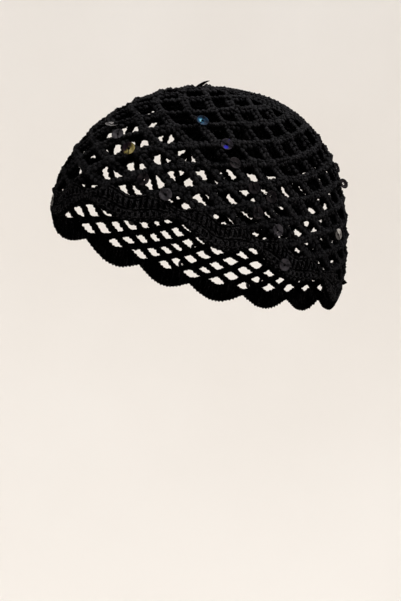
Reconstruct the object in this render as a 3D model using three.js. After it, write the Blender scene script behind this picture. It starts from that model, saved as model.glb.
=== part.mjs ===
// Crochet bandana cap: a dense crown, an open diamond net, a border of twelve scallops and sewn-on sequins.
// Millimetres, +Z up, the forehead towards -Y and the wearer's left towards +X.
// The origin is on the inside of the crown, where the cap rests on the top of the head.

import * as THREE from "three";

// The form that the cap is stretched over, a superellipsoid through the middle of the yarn.
const HEAD = {
  halfWidth: 77,
  front: 115.5,
  back: 77.5,
  height: 97,
  planExponent: 2.26,
  sideExponent: 2.23,
};
// The crown's centre sits behind the top of the head, at this angle.
const CROWN_TILT = THREE.MathUtils.degToRad(13.3);
// Lengths along the cloth are turned into angles at this radius.
const CLOTH_RADIUS = 88;

// How far the yarn stands off the middle of the cloth, inwards and outwards.
const INSIDE = -1.7;
const NET_OUTSIDE = 1.9;
const CROWN_OUTSIDE = 1.6;
const BORDER_OUTSIDE = 2.3;
// Clearance between pieces that are crocheted or sewn together.
const SEAT_GAP = 0.35;

// The line where net and border meet, as an angle from the crown's centre. It is highest over the forehead
// and lowest behind the ears.
const RIM = { angle: 1.689, frontLift: 0.041, endsLift: 0.021 };
// Loops are equally wide along the cloth, so they turn through less angle at the long front and back.
const LOOP_CROWDING = 0.074;

const NET = { loops: 18, rounds: 7, firstAngle: 1.675, strand: 22.1, width: 5.2, face: 3.4 };
const SCALLOPS = 12;
const SCALLOP_STEPS = 10;
// Depths below the rim line: the top edge waves, the bottom edge hangs in an arc from joint to joint.
const SCALLOP = { topMean: 2.1, topWave: 1.9, jointDepth: 7.5, hang: 9, edgeRound: 1.2 };
const CROWN = { spokes: 24, stitchRounds: 4, groove: 0.6, edgeRound: 0.9 };
const SEQUIN = { radius: 3.5, hole: 0.8, thickness: 0.4, sides: 8 };

// Sequins seen from the wearer's left front: degrees of turn from the forehead, millimetres along the
// cloth from the crown's centre, and colour. The far half of the cap repeats them half a turn on.
const SEQUINS = [
  { turn: -4, reach: 154.5, colour: "pearl" },
  { turn: 22, reach: 123.5, colour: "smoke" },
  { turn: 28, reach: 130, colour: "gold" },
  { turn: 35, reach: 143, colour: "night" },
  { turn: 42, reach: 147, colour: "smoke" },
  { turn: 46, reach: 100.5, colour: "teal" },
  { turn: 56, reach: 108, colour: "violet" },
  { turn: 60, reach: 116.5, colour: "night" },
  { turn: 68, reach: 125, colour: "night" },
  { turn: 75, reach: 125, colour: "night" },
  { turn: 71, reach: 138, colour: "violet" },
  { turn: 80, reach: 142.5, colour: "smoke" },
  { turn: 86, reach: 160, colour: "smoke" },
  { turn: 112, reach: 125.5, colour: "pearl" },
  { turn: 120, reach: 75.5, colour: "gold" },
  { turn: 123, reach: 85.5, colour: "night" },
];
const SEQUIN_COLOURS = {
  pearl: 0xb9b2a8,
  smoke: 0x4a464c,
  gold: 0x6a5a34,
  night: 0x17151b,
  teal: 0x14606e,
  violet: 0x2c2440,
};
const YARN_COLOURS = { crown: 0x151417, net: 0x171619, border: 0x131215 };

// The radius of the head form along a unit direction, with its surface moved out by offset.
function radiusAlong(direction, offset) {
  const depth = direction.y < 0 ? HEAD.front : HEAD.back;
  const plan =
    Math.abs(direction.x / (HEAD.halfWidth + offset)) ** HEAD.planExponent +
    Math.abs(direction.y / (depth + offset)) ** HEAD.planExponent;
  const side = Math.abs(direction.z / (HEAD.height + offset)) ** HEAD.sideExponent;
  return (plan ** (HEAD.sideExponent / HEAD.planExponent) + side) ** (-1 / HEAD.sideExponent);
}

// A point of the cloth: angle from the crown's centre, turn from the forehead, offset from its middle.
function clothPoint(angle, turn, offset) {
  const direction = new THREE.Vector3(
    Math.sin(angle) * Math.sin(turn),
    -Math.sin(angle) * Math.cos(turn),
    Math.cos(angle),
  ).applyAxisAngle(new THREE.Vector3(1, 0, 0), -CROWN_TILT);
  const point = direction.clone().multiplyScalar(radiusAlong(direction, offset));
  point.z -= HEAD.height + INSIDE;
  return point;
}

// The direction that points out of the cap at a point of the cloth.
function clothNormal(angle, turn, offset) {
  const step = 0.001;
  const along = clothPoint(angle + step, turn, offset).sub(clothPoint(angle - step, turn, offset));
  const across = clothPoint(angle, turn + step, offset).sub(clothPoint(angle, turn - step, offset));
  return along.cross(across).normalize();
}

// The turn of a share of the way round, counted from the forehead's middle.
function turnOf(share) {
  const even = share * 2 * Math.PI;
  return even - LOOP_CROWDING * Math.sin(2 * even);
}

// Rounds rise and fall with the rim line, less and less towards the crown.
function roundAngle(angle, turn) {
  return angle * (1 - RIM.frontLift * Math.cos(turn) - RIM.endsLift * Math.cos(2 * turn));
}

// The cloth's own radius at the rim line, which turns a depth below that line into an angle.
function rimRadius(turn) {
  const centre = new THREE.Vector3(0, 0, -HEAD.height - INSIDE);
  return clothPoint(roundAngle(RIM.angle, turn), turn, 0).distanceTo(centre);
}

// A point given by its distance below the rim line, in millimetres along the cloth.
function belowRim(depth, turn, offset) {
  return clothPoint(roundAngle(RIM.angle, turn) + depth / rimRadius(turn), turn, offset);
}

// How far round its scallop a share lies: 0 at the scallop's middle and 1 or -1 at the joints.
function acrossScallop(share) {
  const place = share * SCALLOPS;
  return 2 * (place - Math.round(place));
}

function scallopTop(share) {
  return SCALLOP.topMean + SCALLOP.topWave * Math.cos(2 * Math.PI * acrossScallop(share));
}

function scallopBottom(share) {
  return SCALLOP.jointDepth + SCALLOP.hang * Math.cos((Math.PI / 2) * acrossScallop(share));
}

function geometryOf(points, triangles) {
  const geometry = new THREE.BufferGeometry();
  const positions = points.flatMap((point) => [point.x, point.y, point.z]);
  geometry.setAttribute("position", new THREE.Float32BufferAttribute(positions, 3));
  geometry.setIndex(triangles);
  geometry.computeVertexNormals();
  return geometry;
}

function quad(a, b, c, d) {
  return [a, b, c, a, c, d];
}

// Angles of the net's rounds of knots. Every strand has the same length, so rounds lie further apart
// where the loops are narrower, nearer the crown.
function netRounds() {
  const angles = [NET.firstAngle];
  while (angles.length < NET.rounds) {
    const last = angles.at(-1);
    const halfLoop = (Math.PI * CLOTH_RADIUS * Math.sin(last)) / NET.loops;
    angles.push(last - Math.sqrt(NET.strand ** 2 - halfLoop ** 2) / CLOTH_RADIUS);
  }
  return angles;
}

const ROUNDS = netRounds();

// The net's slope at a round, as the strand's half loop across and rise up the cloth.
function slopeAt(round) {
  const lower = Math.min(round, NET.rounds - 2);
  const across = (Math.PI * CLOTH_RADIUS * Math.sin(ROUNDS[round])) / NET.loops;
  const rise = (ROUNDS[lower] - ROUNDS[lower + 1]) * CLOTH_RADIUS;
  const length = Math.hypot(across, rise);
  return { sine: rise / length, cosine: across / length };
}

// From a knot to the corner of the opening above or below it.
function knotReach(round, width) {
  return width / 2 / slopeAt(round).cosine;
}

// A knot's angle. The first round's knots stand on the border's top edge.
function knotAngle(round, share) {
  if (round > 0) return ROUNDS[round];
  const turn = turnOf(share);
  const lift = roundAngle(1, turn);
  const seat = (scallopTop(share) - SEAT_GAP) / (rimRadius(turn) * lift);
  return RIM.angle + seat - knotReach(0, NET.width) / CLOTH_RADIUS;
}

// The pierced net. Each knot has four corners, one for each opening around it, in three layers: the strand's
// outer face, its widest line and its inner face. Strands run from knot to knot with one bend in the middle.
function netGeometry() {
  const layers = [
    { offset: NET_OUTSIDE, width: NET.face },
    { offset: (NET_OUTSIDE + INSIDE) / 2, width: NET.width },
    { offset: INSIDE, width: NET.face },
  ];
  const points = [];
  const triangles = [];
  const cloth = (angle, share, offset) => {
    const turn = turnOf(share);
    return points.push(clothPoint(roundAngle(angle, turn), turn, offset)) - 1;
  };
  const shareOf = (round, loop) => (loop + round / 2) / NET.loops;

  // The corners of a knot as angle and share, before they are placed on a layer.
  const cornersOf = (round, loop, width) => {
    const share = shareOf(round, loop);
    const angle = knotAngle(round, share);
    const up = knotReach(round, width) / CLOTH_RADIUS;
    const roundLength = 2 * Math.PI * CLOTH_RADIUS * Math.sin(ROUNDS[round]);
    const aside = width / 2 / slopeAt(round).sine / roundLength;
    return {
      left: { angle, share: share - aside },
      down: { angle: angle + up, share },
      right: { angle, share: share + aside },
      up: { angle: angle - up, share },
    };
  };
  const knots = ROUNDS.map((_, round) =>
    Array.from({ length: NET.loops }, (_unused, loop) =>
      layers.map((layer) => {
        const corners = cornersOf(round, loop, layer.width);
        const place = ({ angle, share }) => cloth(angle, share, layer.offset);
        return {
          left: place(corners.left),
          down: place(corners.down),
          right: place(corners.right),
          up: place(corners.up),
        };
      }),
    ),
  );
  const knotAt = (round, loop) => knots[round][(loop + NET.loops) % NET.loops];
  // The wall of one opening's side, from the outer face over the widest line to the inner face.
  const wall = (from, to) => {
    for (let layer = 0; layer + 1 < layers.length; layer += 1) {
      triangles.push(...quad(from[layer], to[layer], to[layer + 1], from[layer + 1]));
    }
  };
  // A strand up to the next round. Each side is named by the corners where it starts and ends.
  const strand = (round, loop, upperLoop, near, far) => {
    const side = ([start, end]) => {
      const bend = layers.map((layer) => {
        const low = cornersOf(round, loop, layer.width)[start];
        const high = cornersOf(round + 1, upperLoop, layer.width)[end];
        return cloth((low.angle + high.angle) / 2, (low.share + high.share) / 2, layer.offset);
      });
      return [
        knotAt(round, loop).map((layer) => layer[start]),
        bend,
        knotAt(round + 1, upperLoop).map((layer) => layer[end]),
      ];
    };
    const first = side(near);
    const second = side(far);
    const inner = layers.length - 1;
    for (let half = 0; half < 2; half += 1) {
      const [a, b] = [first[half], first[half + 1]];
      const [c, d] = [second[half], second[half + 1]];
      triangles.push(...quad(a[0], c[0], d[0], b[0]));
      triangles.push(...quad(c[inner], a[inner], b[inner], d[inner]));
      wall(a, b);
      wall(d, c);
    }
  };
  knots.forEach((row, round) => {
    row.forEach((knot, loop) => {
      const [outer, , inner] = knot;
      triangles.push(...quad(outer.left, outer.down, outer.right, outer.up));
      triangles.push(...quad(inner.left, inner.up, inner.right, inner.down));
      const corner = (name) => knot.map((layer) => layer[name]);
      if (round === 0) {
        wall(corner("down"), corner("left"));
        wall(corner("right"), corner("down"));
      }
      if (round === NET.rounds - 1) {
        wall(corner("left"), corner("up"));
        wall(corner("up"), corner("right"));
        return;
      }
      // A round's knots lie half a loop on from those of the round below.
      strand(round, loop, loop - 1, ["left", "down"], ["up", "right"]);
      strand(round, loop, loop, ["up", "left"], ["right", "down"]);
    });
  });
  return geometryOf(points, triangles);
}

// The border: one ring of sections, each a six-cornered slice from the scallop's top edge to its bottom edge.
function borderGeometry() {
  const columns = SCALLOPS * SCALLOP_STEPS;
  const middle = (BORDER_OUTSIDE + INSIDE) / 2;
  const points = [];
  const triangles = [];
  for (let column = 0; column < columns; column += 1) {
    const share = column / columns;
    const turn = turnOf(share);
    const top = scallopTop(share);
    const bottom = scallopBottom(share);
    const round = Math.min(SCALLOP.edgeRound, (bottom - top) / 3);
    const section = [
      { depth: top, offset: middle },
      { depth: top + round, offset: BORDER_OUTSIDE },
      { depth: bottom - round, offset: BORDER_OUTSIDE },
      { depth: bottom, offset: middle },
      { depth: bottom - round, offset: INSIDE },
      { depth: top + round, offset: INSIDE },
    ];
    points.push(...section.map(({ depth, offset }) => belowRim(depth, turn, offset)));
    const next = (column + 1) % columns;
    section.forEach((_, corner) => {
      const following = (corner + 1) % section.length;
      const at = (col, index) => col * section.length + index;
      triangles.push(
        ...quad(at(column, corner), at(column, following), at(next, following), at(next, corner)),
      );
    });
  }
  return geometryOf(points, triangles);
}

// The dense crown: a shallow dish of worked rounds, with a groove between one round and the next.
function crownGeometry() {
  const edge = ROUNDS.at(-1) - (knotReach(NET.rounds - 1, NET.width) + SEAT_GAP) / CLOTH_RADIUS;
  const edgeRound = CROWN.edgeRound / CLOTH_RADIUS;
  const outside = [];
  const halfRounds = 2 * CROWN.stitchRounds;
  for (let half = 1; half < halfRounds; half += 1) {
    const grooved = half % 2 === 0 ? CROWN.groove : 0;
    outside.push({ angle: ((edge - edgeRound) * half) / (halfRounds - 1), offset: CROWN_OUTSIDE - grooved });
  }
  const rim = { angle: edge, offset: (CROWN_OUTSIDE + INSIDE) / 2 };
  const inside = [];
  for (let round = CROWN.stitchRounds; round > 0; round -= 1) {
    inside.push({ angle: ((edge - edgeRound) * round) / CROWN.stitchRounds, offset: INSIDE });
  }
  const rings = [...outside, rim, ...inside];
  const points = [clothPoint(0, 0, CROWN_OUTSIDE - CROWN.groove)];
  for (const { angle, offset } of rings) {
    for (let spoke = 0; spoke < CROWN.spokes; spoke += 1) {
      const turn = turnOf(spoke / CROWN.spokes);
      points.push(clothPoint(roundAngle(angle, turn), turn, offset));
    }
  }
  points.push(clothPoint(0, 0, INSIDE));
  const triangles = [];
  const last = points.length - 1;
  const at = (ring, spoke) => 1 + ring * CROWN.spokes + (spoke % CROWN.spokes);
  for (let spoke = 0; spoke < CROWN.spokes; spoke += 1) {
    triangles.push(0, at(0, spoke), at(0, spoke + 1));
    for (let ring = 0; ring + 1 < rings.length; ring += 1) {
      triangles.push(
        ...quad(at(ring, spoke), at(ring + 1, spoke), at(ring + 1, spoke + 1), at(ring, spoke + 1)),
      );
    }
    triangles.push(last, at(rings.length - 1, spoke + 1), at(rings.length - 1, spoke));
  }
  return geometryOf(points, triangles);
}

// A sequin: a thin round disc with a hole in its middle, lying in the plane across its own Y axis.
function sequinGeometry() {
  const half = SEQUIN.thickness / 2;
  const profile = [
    [SEQUIN.hole, -half],
    [SEQUIN.radius, -half],
    [SEQUIN.radius, half],
    [SEQUIN.hole, half],
    [SEQUIN.hole, -half],
  ];
  return new THREE.LatheGeometry(
    profile.map(([x, y]) => new THREE.Vector2(x, y)),
    SEQUIN.sides,
  );
}

function yarn(colour) {
  return new THREE.MeshStandardMaterial({ color: colour, roughness: 0.95, metalness: 0 });
}

function named(name, geometry, material) {
  const mesh = new THREE.Mesh(geometry, material);
  mesh.name = name;
  return mesh;
}

// A sequin laid flat on what carries it: the border below the rim line, the net above.
function sequinAt(name, { turn, reach, colour }, halfTurns) {
  const share = turn / 360 + halfTurns / 2;
  const placeTurn = turnOf(share);
  const angle = roundAngle(reach / CLOTH_RADIUS, placeTurn);
  const onBorder = reach / CLOTH_RADIUS > RIM.angle;
  const offset = (onBorder ? BORDER_OUTSIDE : NET_OUTSIDE) + SEAT_GAP + SEQUIN.thickness / 2;
  const material = new THREE.MeshStandardMaterial({
    color: SEQUIN_COLOURS[colour],
    roughness: 0.25,
    metalness: 0.3,
  });
  const sequin = named(name, sequinGeometry(), material);
  sequin.position.copy(clothPoint(angle, placeTurn, offset));
  sequin.quaternion.setFromUnitVectors(new THREE.Vector3(0, 1, 0), clothNormal(angle, placeTurn, offset));
  return sequin;
}

const cap = new THREE.Group();
cap.add(named("crown", crownGeometry(), yarn(YARN_COLOURS.crown)));
cap.add(named("net", netGeometry(), yarn(YARN_COLOURS.net)));
cap.add(named("scallop_border", borderGeometry(), yarn(YARN_COLOURS.border)));
SEQUINS.forEach((row, index) => {
  const number = String(index + 1).padStart(2, "0");
  cap.add(sequinAt(`sequin_near_${number}`, row, 0));
  cap.add(sequinAt(`sequin_far_${number}`, row, 1));
});

export default cap;
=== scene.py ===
import math

import bpy
import numpy as np
from mathutils import Matrix, Vector


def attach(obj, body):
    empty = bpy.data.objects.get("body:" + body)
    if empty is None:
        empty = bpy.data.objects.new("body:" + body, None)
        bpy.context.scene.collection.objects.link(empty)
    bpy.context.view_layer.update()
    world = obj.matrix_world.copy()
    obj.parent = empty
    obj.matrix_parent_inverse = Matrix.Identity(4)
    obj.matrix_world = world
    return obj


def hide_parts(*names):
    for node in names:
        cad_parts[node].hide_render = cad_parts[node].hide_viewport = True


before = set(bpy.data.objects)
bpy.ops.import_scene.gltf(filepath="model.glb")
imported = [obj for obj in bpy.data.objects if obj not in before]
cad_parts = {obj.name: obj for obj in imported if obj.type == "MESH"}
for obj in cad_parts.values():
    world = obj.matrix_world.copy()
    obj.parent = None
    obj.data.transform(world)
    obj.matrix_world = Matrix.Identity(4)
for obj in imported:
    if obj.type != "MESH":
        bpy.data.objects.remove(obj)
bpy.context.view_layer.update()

# Sizes are in millimetres here and turned into metres where a mesh or light is made.
MM = 0.001

# The form that the cap is stretched over, the same as in the CAD source.
HALF_WIDTH = 77.0
FRONT = 115.5
BACK = 77.5
HEIGHT = 97.0
PLAN_EXPONENT = 2.26
SIDE_EXPONENT = 2.23
# How much rounder than the rest the upper front is.
FRONT_ROUNDNESS = 0.085
INSIDE = -1.7
CROWN_TILT = math.radians(13.3)
CLOTH_RADIUS = 88.0
RIM_ANGLE = 1.689
FRONT_LIFT = 0.041
ENDS_LIFT = 0.021

# The crocheted net: its loops, the length of half a loop, and how the loops crowd and lean.
LOOPS = 24
ROUNDS = 13
STRAND = 13.06
STRAND_GROWTH = 0.0137
LOOP_SHIFT = 0.0096
LOOP_CROWDING = -0.0739
SHIFT_GROWTH = -0.0157
CROWDING_GROWTH = 0.0062
LEAN = -0.0068
LEAN_GROWTH = 0.0017
LINKS = 4
# The share of a strand's length that its chain covers, the rest being inside the knots.
CHAIN_SPAN = (0.04, 0.96)
LOOP_SAG = 0.30
UNEVEN = 0.45
LOOP_LIFT = 0.30
# How far a chain rolls about its own length, in radians.
LOOP_ROLL = 0.55
# How far the highest knots stand off the cloth, first by the border and then by the crown.
KNOT_LIFT = (0.4, 1.6)
KNOT_LENGTH = 5.0
KNOT_WIDTH = 5.4
KNOT_HEAD_DROP = 1.6
# How far the painted highlight on the net's yarn reaches down the sides of its tubes.
NET_PAINTED_LIGHT_REACH = 1.2

# The border's scallops and the posts in each, with depths below the rim line.
SCALLOPS = 12
POSTS = 17
TOP_MEAN = 2.1
TOP_WAVE = 1.9
JOINT_DEPTH = 7.5
HANG = 9.0
# Where the two rows of posts start and end, as parts of the border's depth.
TALL_START = 0.02
TALL_END = 0.55
SHORT_END = 0.93
# How far below the border's top and bottom edges their rows of heads lie.
TOP_MARGIN = 0.6
EDGE_MARGIN = -1.3
# How far the first joints after the forehead have drifted from their even places, in degrees of turn.
JOINT_DRIFT = [1.9, 0.5, -2.8, 2.0]

# Where the border's yarn was tied off, as a share of the way round, and the part of the depth it takes.
TIED_OFF = 0.357
TIED_DEPTH = 0.2

# The crown's worked rounds: their number, their height, the stitches that each adds, the hole in the middle
# and how many stitches each round is turned on from the one before.
CROWN_ROUNDS = 9
CROWN_ROUND = 6.2
FIRST_ROUND = 12
CROWN_HOLE = 1.4
ROUND_SHIFT = 0.37

# How much one stitch differs from the next.
WOBBLE = 0.14

# The steps over which slopes are measured, along the cloth in radians and along a path as a share of it.
SLOPE_STEP = 1e-3
PATH_STEP = 2e-3
# The least length that a vector is divided by.
LEAST_LENGTH = 1e-12
DEGREES_ROUND = 360

YARN_SEED = 20
SEQUIN_SEED = 8
chance = np.random.default_rng(YARN_SEED)
sequin_chance = np.random.default_rng(SEQUIN_SEED)


# The cloth's surface

def cloth(angle, turn, offset):
    """Points of the cloth, by angle from the crown's centre, turn from the forehead and height."""
    x = np.sin(angle) * np.sin(turn)
    y = -np.sin(angle) * np.cos(turn)
    z = np.cos(angle)
    cosine, sine = math.cos(CROWN_TILT), math.sin(CROWN_TILT)
    y, z = y * cosine + z * sine, z * cosine - y * sine
    depth = np.where(y < 0, FRONT, BACK)
    plan = np.abs(x / (HALF_WIDTH + offset)) ** PLAN_EXPONENT
    plan = plan + np.abs(y / (depth + offset)) ** PLAN_EXPONENT
    exponent = SIDE_EXPONENT - FRONT_ROUNDNESS * np.clip(-y, 0, 1)
    side = np.abs(z / (HEIGHT + offset)) ** exponent
    radius = (plan ** (exponent / PLAN_EXPONENT) + side) ** (-1 / exponent)
    return np.stack([x * radius, y * radius, z * radius - HEIGHT - INSIDE], axis=-1)


def unit(vectors):
    return vectors / np.maximum(np.linalg.norm(vectors, axis=-1, keepdims=True), LEAST_LENGTH)


def cloth_normal(angle, turn):
    """The way that faces out of the cloth."""
    down = cloth(angle + SLOPE_STEP, turn, 0) - cloth(angle - SLOPE_STEP, turn, 0)
    aside = cloth(angle, turn + SLOPE_STEP, 0) - cloth(angle, turn - SLOPE_STEP, 0)
    return unit(np.cross(down, aside))


def round_angle(angle, turn):
    """The angle of a round at a turn: the cap sits higher over the forehead and at both ends."""
    return angle * (1 - FRONT_LIFT * np.cos(turn) - ENDS_LIFT * np.cos(2 * turn))


def below_rim(depth, turn):
    """The angle that lies depth millimetres below the rim line."""
    rim = round_angle(RIM_ANGLE, turn)
    centre = np.array([0, 0, -HEIGHT - INSIDE])
    return rim + depth / np.linalg.norm(cloth(rim, turn, 0) - centre, axis=-1)


def turn_of(even, level=0):
    """The turn of an even share of the way round, which drifts from one round of the net to the next."""
    shift = LOOP_SHIFT + SHIFT_GROWTH * level
    crowding = LOOP_CROWDING + CROWDING_GROWTH * level
    lean = LEAN * level + LEAN_GROWTH * level ** 2
    return even + shift * np.sin(even) + crowding * np.sin(2 * even) + lean


def place(path, share, across, height):
    """Points at a share of a path, moved sideways and off the cloth, and the normals there."""
    angle, turn = path(share)
    normal = cloth_normal(angle, turn)
    along = unit(cloth(*path(share + PATH_STEP), 0) - cloth(*path(share - PATH_STEP), 0))
    sideways = np.cross(normal, along)
    points = cloth(angle, turn, 0) + across[..., None] * sideways + height[..., None] * normal
    return points, normal


# Yarn, as many short tubes in one mesh

class Yarn:
    """Collects tubes of yarn. Each tube is a row of rings, and its ends are closed."""

    SIDES = 6
    TWIST_LENGTH = 2.4
    # How much of the painted light the inside of the cloth keeps, against its face: the back of the cloth
    # is painted in shade.
    INSIDE_PAINTED_LIGHT = 0.6

    def __init__(self, painted_light_reach=0.0):
        """Its argument is how far the painted highlight on a tube reaches down its sides, before its
        painted shade.
        """
        self.painted_light_reach = painted_light_reach
        self.points, self.corners, self.totals, self.coordinates = [], [], [], []
        self.shades, self.painted_shadings = [], []
        self.count = 0

    def tubes(self, centres, radii, normals, facing=1):
        """Adds tubes around rows of centres, with the outer side of each towards the normals."""
        centres = centres.reshape(-1, *centres.shape[-2:])
        normals = normals.reshape(centres.shape)
        number, rings, _ = centres.shape
        radii = np.broadcast_to(radii, (number, rings))
        along = unit(np.gradient(centres, axis=1))
        aside = unit(np.cross(normals, along))
        out = np.cross(along, aside)
        around = np.arange(self.SIDES) / self.SIDES * 2 * math.pi
        ring = (
            out[:, :, None, :] * np.cos(around)[None, None, :, None]
            + aside[:, :, None, :] * np.sin(around)[None, None, :, None]
        )
        points = centres[:, :, None, :] + radii[:, :, None, None] * ring
        self.points.append(points.reshape(-1, 3))

        index = np.arange(number * rings * self.SIDES).reshape(number, rings, self.SIDES) + self.count
        following = np.roll(index, -1, axis=2)
        walls = np.stack([index[:, :-1], following[:, :-1], following[:, 1:], index[:, 1:]], axis=-1)
        self.corners.append(walls.reshape(-1))
        self.totals.append(np.full(walls.size // 4, 4))
        length = np.linalg.norm(np.diff(centres, axis=1), axis=-1).cumsum(axis=1) / self.TWIST_LENGTH
        length = np.concatenate([np.zeros((number, 1)), length], axis=1)
        length = length + chance.random((number, 1))
        left = np.arange(self.SIDES) / self.SIDES
        right = left + 1 / self.SIDES
        shape = (number, rings - 1, self.SIDES)
        low = np.broadcast_to(length[:, :-1, None], shape)
        high = np.broadcast_to(length[:, 1:, None], shape)
        left, right = np.broadcast_to(left, shape), np.broadcast_to(right, shape)
        wall_uv = np.stack([left, low, right, low, right, high, left, high], axis=-1)
        self.coordinates.append(wall_uv.reshape(-1, 2))

        caps = np.stack([index[:, 0, ::-1], index[:, -1, :]], axis=1)
        self.corners.append(caps.reshape(-1))
        self.totals.append(np.full(number * 2, self.SIDES))
        self.coordinates.append(np.zeros((caps.size, 2)))
        shade = np.repeat(chance.random(number), rings * self.SIDES)
        self.shades.append(shade)
        # Painted light and shade: each ring is painted lighter on the side that faces out and darker down
        # its flanks, and darker where the tube thins at its ends between stitches, as light and shade would
        # fall.
        painted_light_along = (radii / radii.max(axis=1, keepdims=True)) ** 2
        painted_light_around = np.clip((facing * np.cos(around) + self.painted_light_reach) / (1 + self.painted_light_reach), 0, 1)
        painted_shading = painted_light_along[:, :, None] * painted_light_around ** 2
        if facing < 0:
            painted_shading = painted_shading * self.INSIDE_PAINTED_LIGHT
        self.painted_shadings.append(painted_shading.reshape(-1))
        self.count += number * rings * self.SIDES

    def stitches(self, path, rings, links=1, span=(0.0, 1.0), side=1.0, lift=0.0, roll=0.0, facing=1):
        """One tube for each path and link. Rings are rows of along, across, height and radius.

        Lift raises the middle of each path off the cloth, and roll turns its stitches about it. Facing is 1
        for a tube on the cloth's face and -1 for one on its back, which is painted in shade."""
        along, across, height, radius = np.array(rings, dtype=float).T
        link = np.arange(links)[None, :, None]
        share = span[0] + (span[1] - span[0]) * (link + along[None, None, :]) / links
        number = path(share)[1].shape[0]
        across = side * across * (1 + WOBBLE * chance.standard_normal((number, links, 1)))
        height = height + WOBBLE * chance.standard_normal((number, links, 1))
        roll = np.reshape(roll, (-1, 1, 1))
        across, height = (
            across * np.cos(roll) - height * np.sin(roll),
            height * np.cos(roll) + across * np.sin(roll),
        )
        height = height + np.reshape(lift, (-1, 1, 1)) * np.sin(math.pi * np.clip(share, 0, 1))
        radius = radius * (1 + WOBBLE / 2 * chance.standard_normal((number, links, 1)))
        centres, normals = place(path, share, across, height)
        self.tubes(centres, radius.reshape(number * links, -1), normals, facing)

    def mesh(self, name, material):
        """One mesh of all tubes, with each stitch's random shade and the tubes' painted light and shade as
        attributes, and the twist as a UV map.
        """
        mesh = bpy.data.meshes.new(name)
        points = np.concatenate(self.points) * MM
        corners = np.concatenate(self.corners)
        totals = np.concatenate(self.totals)
        mesh.vertices.add(len(points))
        mesh.vertices.foreach_set("co", points.ravel())
        mesh.loops.add(len(corners))
        mesh.loops.foreach_set("vertex_index", corners.astype(np.int32))
        mesh.polygons.add(len(totals))
        starts = np.concatenate([[0], np.cumsum(totals)[:-1]])
        mesh.polygons.foreach_set("loop_start", starts.astype(np.int32))
        mesh.polygons.foreach_set("loop_total", totals.astype(np.int32))
        mesh.polygons.foreach_set("use_smooth", np.ones(len(totals), dtype=bool))
        layer = mesh.uv_layers.new(name="twist")
        layer.data.foreach_set("uv", np.concatenate(self.coordinates).ravel())
        for attribute, values in (("shade", self.shades), ("painted_shading", self.painted_shadings)):
            data = mesh.attributes.new(attribute, "FLOAT", "POINT").data
            data.foreach_set("value", np.concatenate(values))
        mesh.update()
        mesh.validate()
        mesh.materials.append(material)
        return mesh


def ring_walls(low, high, sides):
    """The faces between two rings of points, from the numbers of the first point in each."""
    faces = []
    for k in range(sides):
        k2 = (k + 1) % sides
        faces.append((low + k, low + k2, high + k2, high + k))
    return faces


def new_piece(name, mesh, nodes):
    """A visible piece, which replaces the named CAD nodes."""
    piece = bpy.data.objects.new(name, mesh)
    bpy.context.scene.collection.objects.link(piece)
    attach(piece, "root")
    if nodes:
        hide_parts(*nodes)
    return piece


# Stitch shapes: rows of along, across, height and radius

# One of the two strands on the face of a chain link, which starts inside the link before it and spreads.
CHAIN_SIDE = [
    (-0.25, -0.15, -0.30, 0.60),
    (0.05, 0.50, 0.65, 1.25),
    (0.40, 1.15, 0.95, 1.58),
    (0.75, 1.50, 0.50, 1.35),
    (1.02, 1.45, -0.40, 0.65),
]
# The bump on the back of a chain link.
CHAIN_BACK = [
    (-0.15, -0.45, -0.60, 0.70),
    (0.20, -0.30, -0.90, 1.15),
    (0.50, 0.00, -1.00, 1.30),
    (0.80, 0.30, -0.90, 1.15),
    (1.15, 0.45, -0.60, 0.70),
]
# The two legs on a knot's face, its head across them, and its back.
KNOT_LEG = [
    (0.00, 0.25, -0.10, 0.65),
    (0.22, 0.75, 0.95, 1.15),
    (0.50, 1.15, 1.30, 1.38),
    (0.78, 1.45, 0.90, 1.15),
    (1.00, 1.50, 0.00, 0.65),
]
KNOT_HEAD = [
    (0.00, 0.40, -0.40, 0.70),
    (0.25, 0.10, 0.60, 1.15),
    (0.50, -0.10, 0.95, 1.35),
    (0.75, 0.10, 0.60, 1.15),
    (1.00, 0.40, -0.40, 0.70),
]
KNOT_BACK = [
    (0.00, 0.00, -0.30, 0.70),
    (0.25, 0.00, -0.80, 1.45),
    (0.50, 0.00, -0.90, 1.60),
    (0.75, 0.00, -0.80, 1.45),
    (1.00, 0.00, -0.30, 0.70),
]
# A tall post: two legs and the wrap that crosses them.
POST_LEG = [
    (-0.02, 0.30, -0.10, 0.55),
    (0.18, 0.46, 0.85, 0.92),
    (0.48, 0.42, 1.25, 0.98),
    (0.78, 0.46, 0.85, 0.92),
    (1.02, 0.30, -0.10, 0.55),
]
POST_WRAP = [
    (0.24, -1.00, 0.15, 0.45),
    (0.36, -0.60, 1.35, 0.78),
    (0.50, 0.00, 1.75, 0.92),
    (0.64, 0.60, 1.35, 0.78),
    (0.78, 1.00, 0.15, 0.45),
]
POST_BACK = [
    (-0.12, 0.00, -0.25, 1.60),
    (0.22, 0.12, -0.50, 1.95),
    (0.50, -0.12, -0.50, 1.88),
    (0.78, 0.12, -0.50, 1.95),
    (1.12, 0.00, -0.25, 1.60),
]
# One of the two strands on the head of a worked stitch, laid along the row.
HEAD_SIDE = [
    (-0.25, 0.05, 0.20, 0.45),
    (0.10, 0.62, 1.10, 0.82),
    (0.45, 0.98, 1.35, 1.02),
    (0.80, 0.85, 1.05, 0.85),
    (1.10, 0.30, 0.15, 0.45),
]
# The bump that a stitch of the last row leaves on the border's lower edge.
EDGE_BUMP = [
    (-0.10, -1.10, 0.00, 0.45),
    (0.20, -0.15, 0.35, 1.20),
    (0.50, 0.45, 0.45, 1.62),
    (0.80, -0.15, 0.35, 1.20),
    (1.10, -1.10, 0.00, 0.45),
]
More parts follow.
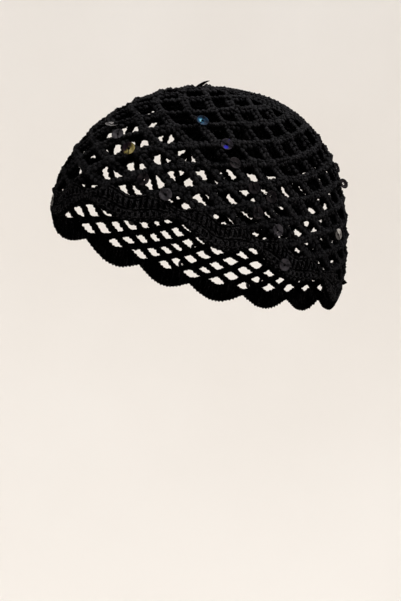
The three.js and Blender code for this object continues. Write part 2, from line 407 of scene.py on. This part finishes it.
# The small knot where the border's yarn was tied off, an arch that stands off the cloth.
TIED_KNOT = [
    (0.00, 0.00, 0.50, 0.80),
    (0.25, 0.20, 3.00, 1.15),
    (0.50, 0.00, 4.10, 1.35),
    (0.75, -0.20, 3.00, 1.15),
    (1.00, 0.00, 0.50, 0.80),
]


# The net

def round_angles():
    """Rounds of knots from the border to the crown, whose strands grow a little from round to round."""
    angles = [RIM_ANGLE]
    while len(angles) < ROUNDS:
        half_loop = math.pi * CLOTH_RADIUS * math.sin(angles[-1]) / LOOPS
        strand = STRAND + STRAND_GROWTH * len(angles)
        angles.append(angles[-1] - math.sqrt(strand ** 2 - half_loop ** 2) / CLOTH_RADIUS)
    return np.array(angles)


ROUND_ANGLES = round_angles()
UNEVEN_ANGLE = UNEVEN / CLOTH_RADIUS * chance.standard_normal((ROUNDS, 2 * LOOPS))
UNEVEN_TURN = UNEVEN / CLOTH_RADIUS * chance.standard_normal((ROUNDS, 2 * LOOPS))


def knots(level, column):
    """Angle and turn of knots, before the rim's lift is applied."""
    column = np.asarray(column)
    wrapped = column % (2 * LOOPS)
    even = column * math.pi / LOOPS
    turn = turn_of(even, level) + UNEVEN_TURN[level, wrapped]
    return ROUND_ANGLES[level] + UNEVEN_ANGLE[level, wrapped], turn


def strand_path(start, end):
    """Half a loop, which hangs from the knot above and flattens towards the one below."""
    (angle0, turn0), (angle1, turn1) = [(a[:, None, None], t[:, None, None]) for a, t in (start, end)]

    def path(share):
        drop = share + LOOP_SAG * share * (1 - share)
        turn = turn0 + (turn1 - turn0) * share
        return round_angle(angle0 + (angle1 - angle0) * drop, turn), turn

    return path


def knot_path(angle, turn, reach):
    """A short path down the cloth through a knot."""
    angle, turn = angle[:, None, None], turn[:, None, None]

    def path(share):
        here = angle + (share - 0.5) * reach / CLOTH_RADIUS
        return round_angle(here, turn), turn + 0 * share

    return path


def knot_cross_path(angle, turn, reach):
    """A short path round the cloth through a knot."""
    angle, turn = angle[:, None, None], turn[:, None, None]

    def path(share):
        here = turn + (share - 0.5) * reach / (CLOTH_RADIUS * np.sin(angle))
        return round_angle(angle, here) + 0 * share, here

    return path


def reversed_path(path):
    return lambda share: path(1 - share)


def net_part(levels):
    """The knots of some rounds and the chains that hang from the round above to them."""
    yarn = Yarn(NET_PAINTED_LIGHT_REACH)
    for level in levels:
        columns = np.arange(1 - level % 2, 2 * LOOPS, 2)
        here = knots(level, columns)
        if level < ROUNDS - 1:
            for step in (-1, 1):
                path = strand_path(knots(level + 1, columns + step), here)
                if step > 0:
                    path = reversed_path(path)
                lift = LOOP_LIFT * chance.standard_normal(LOOPS)
                roll = LOOP_ROLL * chance.standard_normal(LOOPS)
                for side in (-1, 1):
                    yarn.stitches(path, CHAIN_SIDE, LINKS, CHAIN_SPAN, side, lift, roll)
                yarn.stitches(path, CHAIN_BACK, LINKS, CHAIN_SPAN, 1, lift, roll, facing=-1)
        lift = np.interp(level, (0, ROUNDS - 1), KNOT_LIFT) * chance.random(LOOPS)
        down = knot_path(*here, KNOT_LENGTH)
        for side in (-1, 1):
            yarn.stitches(down, KNOT_LEG, side=side, lift=lift)
        yarn.stitches(down, KNOT_BACK, lift=lift / 2, facing=-1)
        lower = (here[0] + KNOT_HEAD_DROP / CLOTH_RADIUS, here[1])
        yarn.stitches(knot_cross_path(*lower, KNOT_WIDTH), KNOT_HEAD, lift=lift)
    return yarn


# The end of the yarn, which stands up near the crown

TAIL_ANGLE = 0.66
TAIL_TURN = 0.41
TAIL_HEADING = (0.53, 0.85, 0.05)
# Along the tail: distance, height over the net and radius.
TAIL_ROUTE = [
    (-4.0, -0.6, 0.90),
    (-2.2, 0.9, 1.05),
    (-0.5, 2.2, 1.05),
    (1.2, 3.2, 0.95),
    (2.6, 3.9, 0.85),
    (3.8, 4.5, 0.50),
]
# Loose fibres at its end: sideways spread, rise and length.
TAIL_ENDS = [(-0.5, 0.2, 2.6), (0.0, 0.5, 2.0), (0.6, -0.3, 1.6), (0.2, 0.0, 3.4)]
FIBRE_RADII = [0.45, 0.38, 0.30, 0.16]
# The length over which a fibre rises one millimetre more.
FIBRE_RUN = 3


def yarn_tail(yarn):
    """The tail and the loose fibres at its end."""
    turn = np.array(TAIL_TURN)
    angle = round_angle(TAIL_ANGLE, turn)
    root, out = cloth(angle, turn, 0), cloth_normal(angle, turn)
    heading = unit(np.array(TAIL_HEADING))
    sideways = np.cross(out, heading)
    distance, height, radius = np.array(TAIL_ROUTE).T
    centres = root + distance[:, None] * heading + height[:, None] * out
    yarn.tubes(centres[None], radius, np.broadcast_to(out, centres[None].shape))
    share = np.linspace(0, 1, len(FIBRE_RADII))[:, None]
    for spread, rise, reach in TAIL_ENDS:
        rise = rise + reach / FIBRE_RUN
        fibre = centres[-2] + share * (reach * heading + spread * sideways + rise * out)
        yarn.tubes(fibre[None], np.array(FIBRE_RADII), np.broadcast_to(out, fibre[None].shape))


# The border

def across_scallop(share):
    """How far a share of the way round is from its scallop's middle, from -1 to 1 at the joints."""
    spot = share * SCALLOPS
    return 2 * (spot - np.round(spot))


def border_turn(share):
    """The turn of a share of the way round the border, whose scallops are not all equally wide."""
    joints = (np.arange(SCALLOPS) + 0.5) / SCALLOPS
    drift = np.zeros(SCALLOPS)
    drift[:len(JOINT_DRIFT)] = np.array(JOINT_DRIFT) / DEGREES_ROUND
    return turn_of(2 * math.pi * (share + np.interp(share, joints, drift, period=1)))


def scallop_top(share):
    return TOP_MEAN + TOP_WAVE * np.cos(2 * math.pi * across_scallop(share))


def scallop_bottom(share):
    return JOINT_DEPTH + HANG * np.cos(math.pi / 2 * across_scallop(share))


def row_depth(share, part):
    """The depth at a part of the way from the border's top edge, 0, to its bottom edge, 1."""
    top, bottom = scallop_top(share), scallop_bottom(share)
    return top + (bottom - top) * part


def border_post_path(shares, start, end):
    """Down the border from one part of its depth to another."""
    shares = shares[:, None, None]

    def path(along):
        part = start + (end - start) * along
        here = shares + 0 * along
        turn = border_turn(here)
        return below_rim(row_depth(here, part), turn), turn

    return path


def border_row_path(shares, part, margin):
    """Along a row of the border, margin millimetres below that part of its depth."""
    shares = shares[:, None, None]
    width = 1 / (SCALLOPS * POSTS)

    def path(along):
        here = shares + width * (along - 0.5)
        turn = border_turn(here)
        return below_rim(row_depth(here, part) + margin, turn), turn

    return path


def border():
    """A row of tall posts and a row of short ones, the rows of heads over them and the lower edge."""
    yarn = Yarn()
    number = SCALLOPS * POSTS
    shares = (np.arange(number) + 0.5) / number
    tall = border_post_path(shares, TALL_START, TALL_END)
    short = border_post_path(shares + 0.5 / number, TALL_END, SHORT_END)
    for row in (tall, short):
        for side in (-1, 1):
            yarn.stitches(row, POST_LEG, side=side)
        yarn.stitches(row, POST_BACK, facing=-1)
    yarn.stitches(tall, POST_WRAP)
    for part, margin in ((0.0, TOP_MARGIN), (TALL_END, 0.0)):
        row = border_row_path(shares, part, margin)
        for side in (-1, 1):
            yarn.stitches(row, HEAD_SIDE, side=side)
    edge = border_row_path(shares, 1.0, EDGE_MARGIN)
    yarn.stitches(edge, HEAD_SIDE)
    yarn.stitches(edge, EDGE_BUMP, side=-1)
    yarn.stitches(border_post_path(np.array([TIED_OFF]), 0.0, TIED_DEPTH), TIED_KNOT)
    return yarn


# The crown

def crown_path(turns, start, end):
    """Outwards over the crown from one distance from its centre to another."""
    turns = turns[:, None, None]

    def path(along):
        reach = (start + (end - start) * along) / CLOTH_RADIUS
        return round_angle(reach, turns) + 0 * along, turns + 0 * along

    return path


def crown_row_path(turns, reach, width):
    """Round the crown at a distance from its centre."""
    turns = turns[:, None, None]

    def path(along):
        here = turns + width * (along - 0.5)
        return round_angle(reach / CLOTH_RADIUS, here) + 0 * along, here

    return path


def crown():
    """Rounds of posts with their heads, each with as many more stitches as the first round has."""
    yarn = Yarn()
    for number in range(CROWN_ROUNDS):
        stitches = FIRST_ROUND * (number + 1)
        width = 2 * math.pi / stitches
        turns = (np.arange(stitches) + ROUND_SHIFT * number) * width
        start = max(CROWN_HOLE, number * CROWN_ROUND)
        end = (number + 1) * CROWN_ROUND
        post = crown_path(turns, start, end)
        for side in (-1, 1):
            yarn.stitches(post, POST_LEG, side=side)
            yarn.stitches(crown_row_path(turns, end, width), HEAD_SIDE, side=side)
        yarn.stitches(post, POST_WRAP)
        yarn.stitches(post, POST_BACK, facing=-1)
    return yarn


# Sequins

SEQUIN_SIDES = 28
# How much the sequins tilt, and how far they are sunk into the yarn.
SEQUIN_TILT = 0.07
SEQUIN_SINK = 0.1
# A direction that no sequin faces, from which each takes the axes of its disc.
DISC_HINT = (0.3, 0.2, 1.0)
# The sewing thread's radius, and the least turn from the first of a sequin's two stitches to the second.
THREAD_RADIUS = 0.2
THREAD_TURN = 2.4
# A sewing stitch, as distance from the sequin's middle and height over it.
THREAD_ROUTE = [
    (0.10, -0.90),
    (0.35, 0.05),
    (0.90, 0.34),
    (2.20, 0.50),
    (3.40, 0.78),
    (3.85, 0.35),
    (3.90, -0.90),
]
# The section of a cupped sequin from its hole to its rim and back, as radius and height.
SEQUIN_SECTION = [
    (0.80, 0.02), (0.95, -0.03), (1.60, -0.05), (2.10, 0.02), (2.75, 0.20), (3.25, 0.38), (3.50, 0.44),
    (3.50, 0.52), (3.25, 0.52), (2.70, 0.34), (2.05, 0.16), (1.60, 0.09), (0.95, 0.11), (0.80, 0.08),
]
# Sequins that hang loose: how far each leans in radians, and how far it stands off the net in metres.
LOOSE_SEQUINS = {"sequin_near_15": (0.35, 0.0002), "sequin_near_16": (0.75, 0.0012)}
# The kinds of film, and the numbers of the CAD sequins of each kind.
SEQUIN_KINDS = {
    "pearl": [1, 14],
    "smoke": [2, 5, 12, 13],
    "gold": [3],
    "night": [4, 8, 9, 10, 11, 15, 16],
    "teal": [6],
    "violet": [7],
}

# An ash-coloured sequin that the photo shows nearly edge-on above the forehead: its place on the cloth,
# its height over the cloth's middle and the way that it faces.
EDGE_ANGLE = 1.335
EDGE_TURN = math.radians(14.0)
EDGE_HEIGHT = 3.2
EDGE_FACING = (0.50, -0.225, 0.837)

# Where a painted glint lies on each film: turn from the upper side, towards the right, then distance and
# reach from the hole.
PAINTED_GLINTS = {
    "pearl": (math.radians(10), 2.4, 3.0),
    "gold": (math.radians(125), 2.4, 4.2),
    "teal": (math.radians(-60), 1.1, 2.3),
    "violet": (math.radians(200), 1.8, 1.5),
}
# How far the painted glint lifts a film's tone up its ramp.
PAINTED_GLINT_SHARE = 0.6


def disc_plane(middle, out):
    """A disc's middle and three directions, the last of which it faces."""
    first = unit(np.cross(out, DISC_HINT))
    return middle, first, np.cross(out, first), out


def sequin_plane(node):
    """A CAD sequin's middle and three directions, the last out of the cap, tilted as a sewn-on disc is."""
    points = np.array([v.co for v in node.data.vertices])
    middle = points.mean(axis=0)
    _, _, axes = np.linalg.svd(points - middle)
    out = axes[2]
    centre = np.array([0, 0, -(HEIGHT + INSIDE) * MM])
    if np.dot(out, middle - centre) < 0:
        out = -out
    lean, rise = LOOSE_SEQUINS.get(node.name, (0, 0))
    middle = middle + rise * out
    out = math.cos(lean) * out + math.sin(lean) * unit(np.cross(out, [0, 0, 1]))
    return disc_plane(middle, unit(out + sequin_chance.normal(0, SEQUIN_TILT, out.size)))


def edge_sequin_plane():
    """The middle and three directions of the sequin above the forehead, which has no CAD sequin."""
    turn = np.array(EDGE_TURN)
    middle = cloth(round_angle(EDGE_ANGLE, turn), turn, EDGE_HEIGHT) * MM
    return disc_plane(middle, unit(np.array(EDGE_FACING)))


def painted_glint(offsets, plane, spot):
    """How near the points of a disc, from its middle, are to the spot of its painted glint."""
    _, _, _, out = plane
    upper = unit(np.array([0, 0, 1]) - out[2] * out)
    turn, distance, reach = spot
    centre = distance * (math.cos(turn) * upper + math.sin(turn) * np.cross(upper, out))
    return np.clip(1 - np.linalg.norm(offsets - centre, axis=-1) / reach, 0, 1)


def sequins(planes, spot):
    """Cupped discs with a hole, closed all round, with a painted glint at a spot if one is given."""
    points, faces, painted_glints = [], [], []
    around = np.arange(SEQUIN_SIDES) / SEQUIN_SIDES * 2 * math.pi
    for plane in planes:
        middle, first, second, out = plane
        base = len(points)
        rim = np.cos(around)[:, None] * first + np.sin(around)[:, None] * second
        for radius, height in SEQUIN_SECTION:
            points.extend(middle + MM * (radius * rim + (height - SEQUIN_SINK) * out))
            painted_glints.extend(painted_glint(radius * rim, plane, spot) if spot else np.zeros(SEQUIN_SIDES))
        count = len(SEQUIN_SECTION)
        for ring in range(count):
            low = base + ring * SEQUIN_SIDES
            high = base + (ring + 1) % count * SEQUIN_SIDES
            faces += ring_walls(low, high, SEQUIN_SIDES)
    mesh = bpy.data.meshes.new("sequins")
    mesh.from_pydata([tuple(p) for p in points], [], faces)
    mesh.polygons.foreach_set("use_smooth", [True] * len(faces))
    mesh.attributes.new("painted_glint", "FLOAT", "POINT").data.foreach_set("value", painted_glints)
    mesh.update()
    return mesh


def sequin_threads(planes):
    """Two stitches of sewing thread for each sequin, from its hole over its rim into the yarn."""
    yarn = Yarn()
    for middle, first, second, out in planes:
        heading = chance.random() * 2 * math.pi
        for turn in (heading, heading + THREAD_TURN + chance.random()):
            aside = math.cos(turn) * first + math.sin(turn) * second
            path = [middle / MM + reach * aside + height * out for reach, height in THREAD_ROUTE]
            centres = np.array(path)[None]
            yarn.tubes(centres, np.full(len(path), THREAD_RADIUS), np.broadcast_to(out, centres.shape))
    return yarn


# Materials

# Noise as scale and detail.
FLECK_NOISE = (750, 3)
FIBRE_NOISE = (4200, 2)
FILM_NOISE = (330, 2)
SCRATCH_NOISE = (2600, 3)
CLOUD_NOISE = (1.2, 2)
# Where a ramp's new stops start, before each gets its own place.
RAMP_MIDDLE = 0.5

# What the tubes' painted light and shade, the stitch's own shade, flecks and fibres add to the yarn's tone,
# and where it is lightest.
PAINTED_SHADING_SHARE = 0.45
SHADE_SHARE = 0.15
FLECK_SHARE = 0.35
FIBRE_SHARE = 0.10
LIGHT_TONE = 0.85
YARN_SURFACE = {
    "Roughness": 0.88,
    "Specular IOR Level": 0.01,
    "Sheen Weight": 0.0008,
    "Sheen Roughness": 0.5,
    "Sheen Tint": (0.6, 0.6, 0.66, 1),
}
# The yarn's plies, and how high its fibres stand against them in its bump of strength and metres.
PLIES = 2
FIBRE_HEIGHT = 1.6
YARN_BUMP = (0.8, 0.00028)
FILM_ROUGHNESS = 0.42
FILM_BUMP = (0.25, 0.00008)
PAPER_TONES = [(0.3, (0.84, 0.808, 0.772)), (0.7, (0.87, 0.842, 0.810))]
PAPER_SURFACE = {"Roughness": 0.95, "Specular IOR Level": 0.1}


def new_material(name):
    material = bpy.data.materials.new(name)
    material.use_nodes = True
    nodes, links = material.node_tree.nodes, material.node_tree.links
    return material, nodes, links, nodes["Principled BSDF"]


def set_sockets(node, values):
    for socket, value in values.items():
        node.inputs[socket].default_value = value


def math_node(nodes, links, operation, first, second=0):
    node = nodes.new("ShaderNodeMath")
    node.operation = operation
    for socket, value in zip(node.inputs, (first, second)):
        if isinstance(value, (int, float)):
            socket.default_value = value
        else:
            links.new(value, socket)
    return node.outputs[0]


def noise_node(nodes, links, scale, detail):
    coordinates = nodes.new("ShaderNodeTexCoord")
    noise = nodes.new("ShaderNodeTexNoise")
    set_sockets(noise, {"Scale": scale, "Detail": detail})
    links.new(coordinates.outputs["Object"], noise.inputs["Vector"])
    return noise.outputs["Fac"]


def ramp_node(nodes, links, factor, stops):
    ramp = nodes.new("ShaderNodeValToRGB")
    elements = ramp.color_ramp.elements
    while len(elements) < len(stops):
        elements.new(RAMP_MIDDLE)
    for element, (position, colour) in zip(elements, stops):
        element.position = position
        element.color = (*colour, 1)
    links.new(factor, ramp.inputs["Fac"])
    return ramp.outputs["Color"]


def attribute_node(nodes, name):
    node = nodes.new("ShaderNodeAttribute")
    node.attribute_name = name
    return node.outputs["Fac"]


def add_bump(nodes, links, shader, height, strength, distance):
    bump = nodes.new("ShaderNodeBump")
    set_sockets(bump, {"Strength": strength, "Distance": distance})
    links.new(height, bump.inputs["Height"])
    links.new(bump.outputs["Normal"], shader.inputs["Normal"])


def yarn_material(name, dark, light, dark_tone):
    """Matt twisted yarn, whose tone changes from stitch to stitch and has painted light on the tops of its
    tubes and painted shade on their flanks and in the crevices, with plies and fibres as bumps.
    """
    material, nodes, links, shader = new_material(name)
    shade = attribute_node(nodes, "shade")
    painted_shading = attribute_node(nodes, "painted_shading")
    flecks = noise_node(nodes, links, *FLECK_NOISE)
    fibres = noise_node(nodes, links, *FIBRE_NOISE)
    tone = math_node(nodes, links, "MULTIPLY", painted_shading, PAINTED_SHADING_SHARE)
    for part, share in ((shade, SHADE_SHARE), (flecks, FLECK_SHARE), (fibres, FIBRE_SHARE)):
        tone = math_node(nodes, links, "ADD", tone, math_node(nodes, links, "MULTIPLY", part, share))
    colour = ramp_node(nodes, links, tone, [(dark_tone, dark), (LIGHT_TONE, light)])
    links.new(colour, shader.inputs["Base Color"])
    set_sockets(shader, YARN_SURFACE)

    twist = nodes.new("ShaderNodeUVMap")
    twist.uv_map = "twist"
    split = nodes.new("ShaderNodeSeparateXYZ")
    links.new(twist.outputs["UV"], split.inputs["Vector"])
    plies = math_node(nodes, links, "MULTIPLY", split.outputs["X"], 2 * math.pi * PLIES)
    slant = math_node(nodes, links, "MULTIPLY", split.outputs["Y"], 2 * math.pi * PLIES)
    wave = math_node(nodes, links, "SINE", math_node(nodes, links, "ADD", plies, slant))
    fuzz = math_node(nodes, links, "MULTIPLY", fibres, FIBRE_HEIGHT)
    add_bump(nodes, links, shader, math_node(nodes, links, "ADD", wave, fuzz), *YARN_BUMP)
    return material


def sequin_material(name, tones, metal, gloss, index):
    """Thin plastic film with a metal coat, whose tones drift across it and lighten at its painted glint."""
    material, nodes, links, shader = new_material(name)
    lift = math_node(nodes, links, "MULTIPLY", attribute_node(nodes, "painted_glint"), PAINTED_GLINT_SHARE)
    tone = math_node(nodes, links, "ADD", noise_node(nodes, links, *FILM_NOISE), lift)
    links.new(ramp_node(nodes, links, tone, tones), shader.inputs["Base Color"])
    set_sockets(shader, {
        "Metallic": metal,
        "Roughness": FILM_ROUGHNESS,
        "Specular IOR Level": gloss,
        "IOR": index,
    })
    add_bump(nodes, links, shader, noise_node(nodes, links, *SCRATCH_NOISE), *FILM_BUMP)
    return material


def studio_material():
    """Pale matt paper, a little uneven."""
    material, nodes, links, shader = new_material("studio_floor")
    colour = ramp_node(nodes, links, noise_node(nodes, links, *CLOUD_NOISE), PAPER_TONES)
    links.new(colour, shader.inputs["Base Color"])
    set_sockets(shader, PAPER_SURFACE)
    return material


# The pieces

# Each part's yarn as dark colour, light colour and the tone up to which it is dark.
# The light colour shows where the painted highlight on the stitches' tops meets random flecks, the dark
# colour where painted shade lies in the crevices; the three copies of the one black yarn differ in how
# bright and wide their painted highlight is, the border's most.
CROWN_YARN = ((0.0001, 0.0001, 0.0002), (0.0155, 0.0151, 0.0164), 0.48)
NET_YARN = ((0.0001, 0.0001, 0.0002), (0.0138, 0.0135, 0.0147), 0.48)
BORDER_YARN = ((0.0001, 0.0001, 0.0001), (0.0235, 0.0226, 0.0245), 0.52)
# The net's pieces, with the first round of each and the one after its last.
NET_PARTS = {"net_rim": (0, 4), "net_sides": (4, 8), "net_shoulder": (8, 11), "net_top": (11, ROUNDS)}

crown_yarn = yarn_material("black_yarn_crown", *CROWN_YARN)
net_yarn = yarn_material("black_yarn_net", *NET_YARN)
border_yarn = yarn_material("black_yarn_border", *BORDER_YARN)

crown_stitches = crown()
yarn_tail(crown_stitches)
new_piece("crown_stitches", crown_stitches.mesh("crown_stitches", crown_yarn), ["crown"])
for name, (first, last) in NET_PARTS.items():
    new_piece(name, net_part(range(first, last)).mesh(name, net_yarn), ["net"])
border_mesh = border().mesh("border_stitches", border_yarn)
new_piece("border_stitches", border_mesh, ["scallop_border"])

# Tones across a sequin as place on the ramp and colour, then metal, gloss and refractive index.
# For pearl, gold, teal and violet the stops from 0.74 up are the colours of their painted glints.
SEQUIN_LOOKS = {
    "pearl": (
        [(0.38, (0.020, 0.018, 0.017)), (0.62, (0.060, 0.055, 0.052)), (0.95, (0.30, 0.285, 0.27))],
        0.10, 0.20, 1.4,
    ),
    "smoke": ([(0.38, (0.012, 0.011, 0.013)), (0.64, (0.034, 0.031, 0.035))], 0.05, 0.10, 1.2),
    "ash": ([(0.38, (0.026, 0.024, 0.024)), (0.64, (0.080, 0.075, 0.074))], 0.05, 0.10, 1.2),
    "gold": (
        [(0.42, (0.006, 0.003, 0.006)), (0.60, (0.016, 0.010, 0.009)), (0.76, (0.11, 0.09, 0.025)),
         (0.95, (0.25, 0.21, 0.09))],
        0.20, 0.10, 1.3,
    ),
    "night": ([(0.40, (0.0035, 0.003, 0.0035)), (0.66, (0.013, 0.011, 0.012))], 0.05, 0.05, 1.12),
    "teal": (
        [(0.40, (0.003, 0.005, 0.009)), (0.62, (0.005, 0.012, 0.024)), (0.78, (0.003, 0.036, 0.075)),
         (1.0, (0.08, 0.18, 0.22))],
        0.05, 0.05, 1.1,
    ),
    "violet": (
        [(0.40, (0.009, 0.008, 0.010)), (0.62, (0.020, 0.017, 0.022)), (0.74, (0.012, 0.011, 0.12)),
         (0.92, (0.010, 0.009, 0.16))],
        0.04, 0.05, 1.1,
    ),
}


def sequin_piece(kind, planes, names):
    """One piece of all sequins of a kind, which replaces the named CAD sequins."""
    mesh = sequins(planes, PAINTED_GLINTS.get(kind))
    mesh.materials.append(sequin_material(f"sequin_{kind}", *SEQUIN_LOOKS[kind]))
    new_piece(f"sequins_{kind}", mesh, names)


every_plane = []
for kind, numbers in SEQUIN_KINDS.items():
    names = [f"sequin_{half}_{number:02d}" for half in ("near", "far") for number in numbers]
    planes = [sequin_plane(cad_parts[name]) for name in names]
    every_plane += planes
    sequin_piece(kind, planes, names)
every_plane.append(edge_sequin_plane())
sequin_piece("ash", every_plane[-1:], [])
thread_mesh = sequin_threads(every_plane).mesh("sequin_threads", net_yarn)
new_piece("sequin_threads", thread_mesh, [])


# The studio: a floor that curves up into a wall all round

FLOOR = -1.1
FLOOR_RADIUS = 0.8
CURVE = 1.5
CURVE_STEPS = 16
WALL = 2.4
FLOOR_SIDES = 96
# The lights' names, places, powers and colours.
LIGHTS = [
    ("top_light", (0.10, 0.12, 0.45), 6.0, (1.0, 0.99, 0.97)),
    ("key_light", (0.66, 0.18, 0.62), 8.0, (1.0, 0.98, 0.95)),
]
LIGHT_SIZE = 0.25
LIGHT_TARGET = (0, -0.02, -0.07)
AIR_COLOUR = (1.0, 0.99, 0.98, 1)
AIR_STRENGTH = 1.02


def studio():
    section = [(0.0, FLOOR), (FLOOR_RADIUS, FLOOR)]
    for step in range(1, CURVE_STEPS + 1):
        bend = step / CURVE_STEPS * math.pi / 2
        section.append((FLOOR_RADIUS + CURVE * math.sin(bend), FLOOR + CURVE * (1 - math.cos(bend))))
    section.append((FLOOR_RADIUS + CURVE, FLOOR + WALL))
    points, faces = [], []
    for radius, height in section:
        for k in range(FLOOR_SIDES):
            turn = k / FLOOR_SIDES * 2 * math.pi
            points.append((radius * math.cos(turn), radius * math.sin(turn), height))
    for ring in range(len(section) - 1):
        low = ring * FLOOR_SIDES
        faces += ring_walls(low, low + FLOOR_SIDES, FLOOR_SIDES)
    mesh = bpy.data.meshes.new("studio_floor")
    mesh.from_pydata(points, [], faces)
    mesh.polygons.foreach_set("use_smooth", [True] * len(faces))
    mesh.materials.append(studio_material())
    floor = bpy.data.objects.new("studio_floor", mesh)
    bpy.context.scene.collection.objects.link(floor)


def soft_light(name, position, power, colour):
    lamp = bpy.data.lights.new(name, "AREA")
    lamp.size = LIGHT_SIZE
    lamp.energy = power
    lamp.color = colour
    light = bpy.data.objects.new(name, lamp)
    light.location = position
    light.rotation_mode = "QUATERNION"
    light.rotation_quaternion = (Vector(LIGHT_TARGET) - Vector(position)).to_track_quat("-Z", "Y")
    light.visible_camera = False
    bpy.context.scene.collection.objects.link(light)


def studio_air():
    world = bpy.data.worlds.new("studio_air")
    world.use_nodes = True
    set_sockets(world.node_tree.nodes["Background"], {"Color": AIR_COLOUR, "Strength": AIR_STRENGTH})
    bpy.context.scene.world = world


studio()
for light in LIGHTS:
    soft_light(*light)
studio_air()
bpy.context.scene.view_settings.view_transform = "Standard"


# The camera, at the photograph's place, in metres and radians

FORM_CENTRE = Vector((0, 0, -(HEIGHT + INSIDE) * MM))
DISTANCE = 0.41346
AZIMUTH = 0.9726
ELEVATION = -0.1027
YAW = 1.0095
PITCH = -0.0047
ROLL = 0.0036
FOCAL_PIXELS = 600
PICTURE_HEIGHT = 601
SENSOR = 36.0
CLIP_START = 0.01
CLIP_END = 20


def direction(azimuth, elevation):
    """The way from the cap to a place at an azimuth from its front and an elevation."""
    return Vector((
        math.sin(azimuth) * math.cos(elevation),
        -math.cos(azimuth) * math.cos(elevation),
        math.sin(elevation),
    ))


def make_camera():
    lens = bpy.data.cameras.new("camera")
    lens.sensor_fit = "AUTO"
    lens.sensor_width = SENSOR
    lens.lens = FOCAL_PIXELS / PICTURE_HEIGHT * SENSOR
    lens.clip_start = CLIP_START
    lens.clip_end = CLIP_END
    camera = bpy.data.objects.new("camera", lens)
    bpy.context.scene.collection.objects.link(camera)
    back = direction(YAW, PITCH)
    right = Vector((math.cos(YAW), math.sin(YAW), 0))
    up = back.cross(right)
    right, up = (
        math.cos(ROLL) * right + math.sin(ROLL) * up,
        math.cos(ROLL) * up - math.sin(ROLL) * right,
    )
    turn = Matrix((right, up, back)).transposed()
    place_at = FORM_CENTRE + DISTANCE * direction(AZIMUTH, ELEVATION)
    camera.matrix_world = Matrix.Translation(place_at) @ turn.to_4x4()
    bpy.context.scene.camera = camera


make_camera()
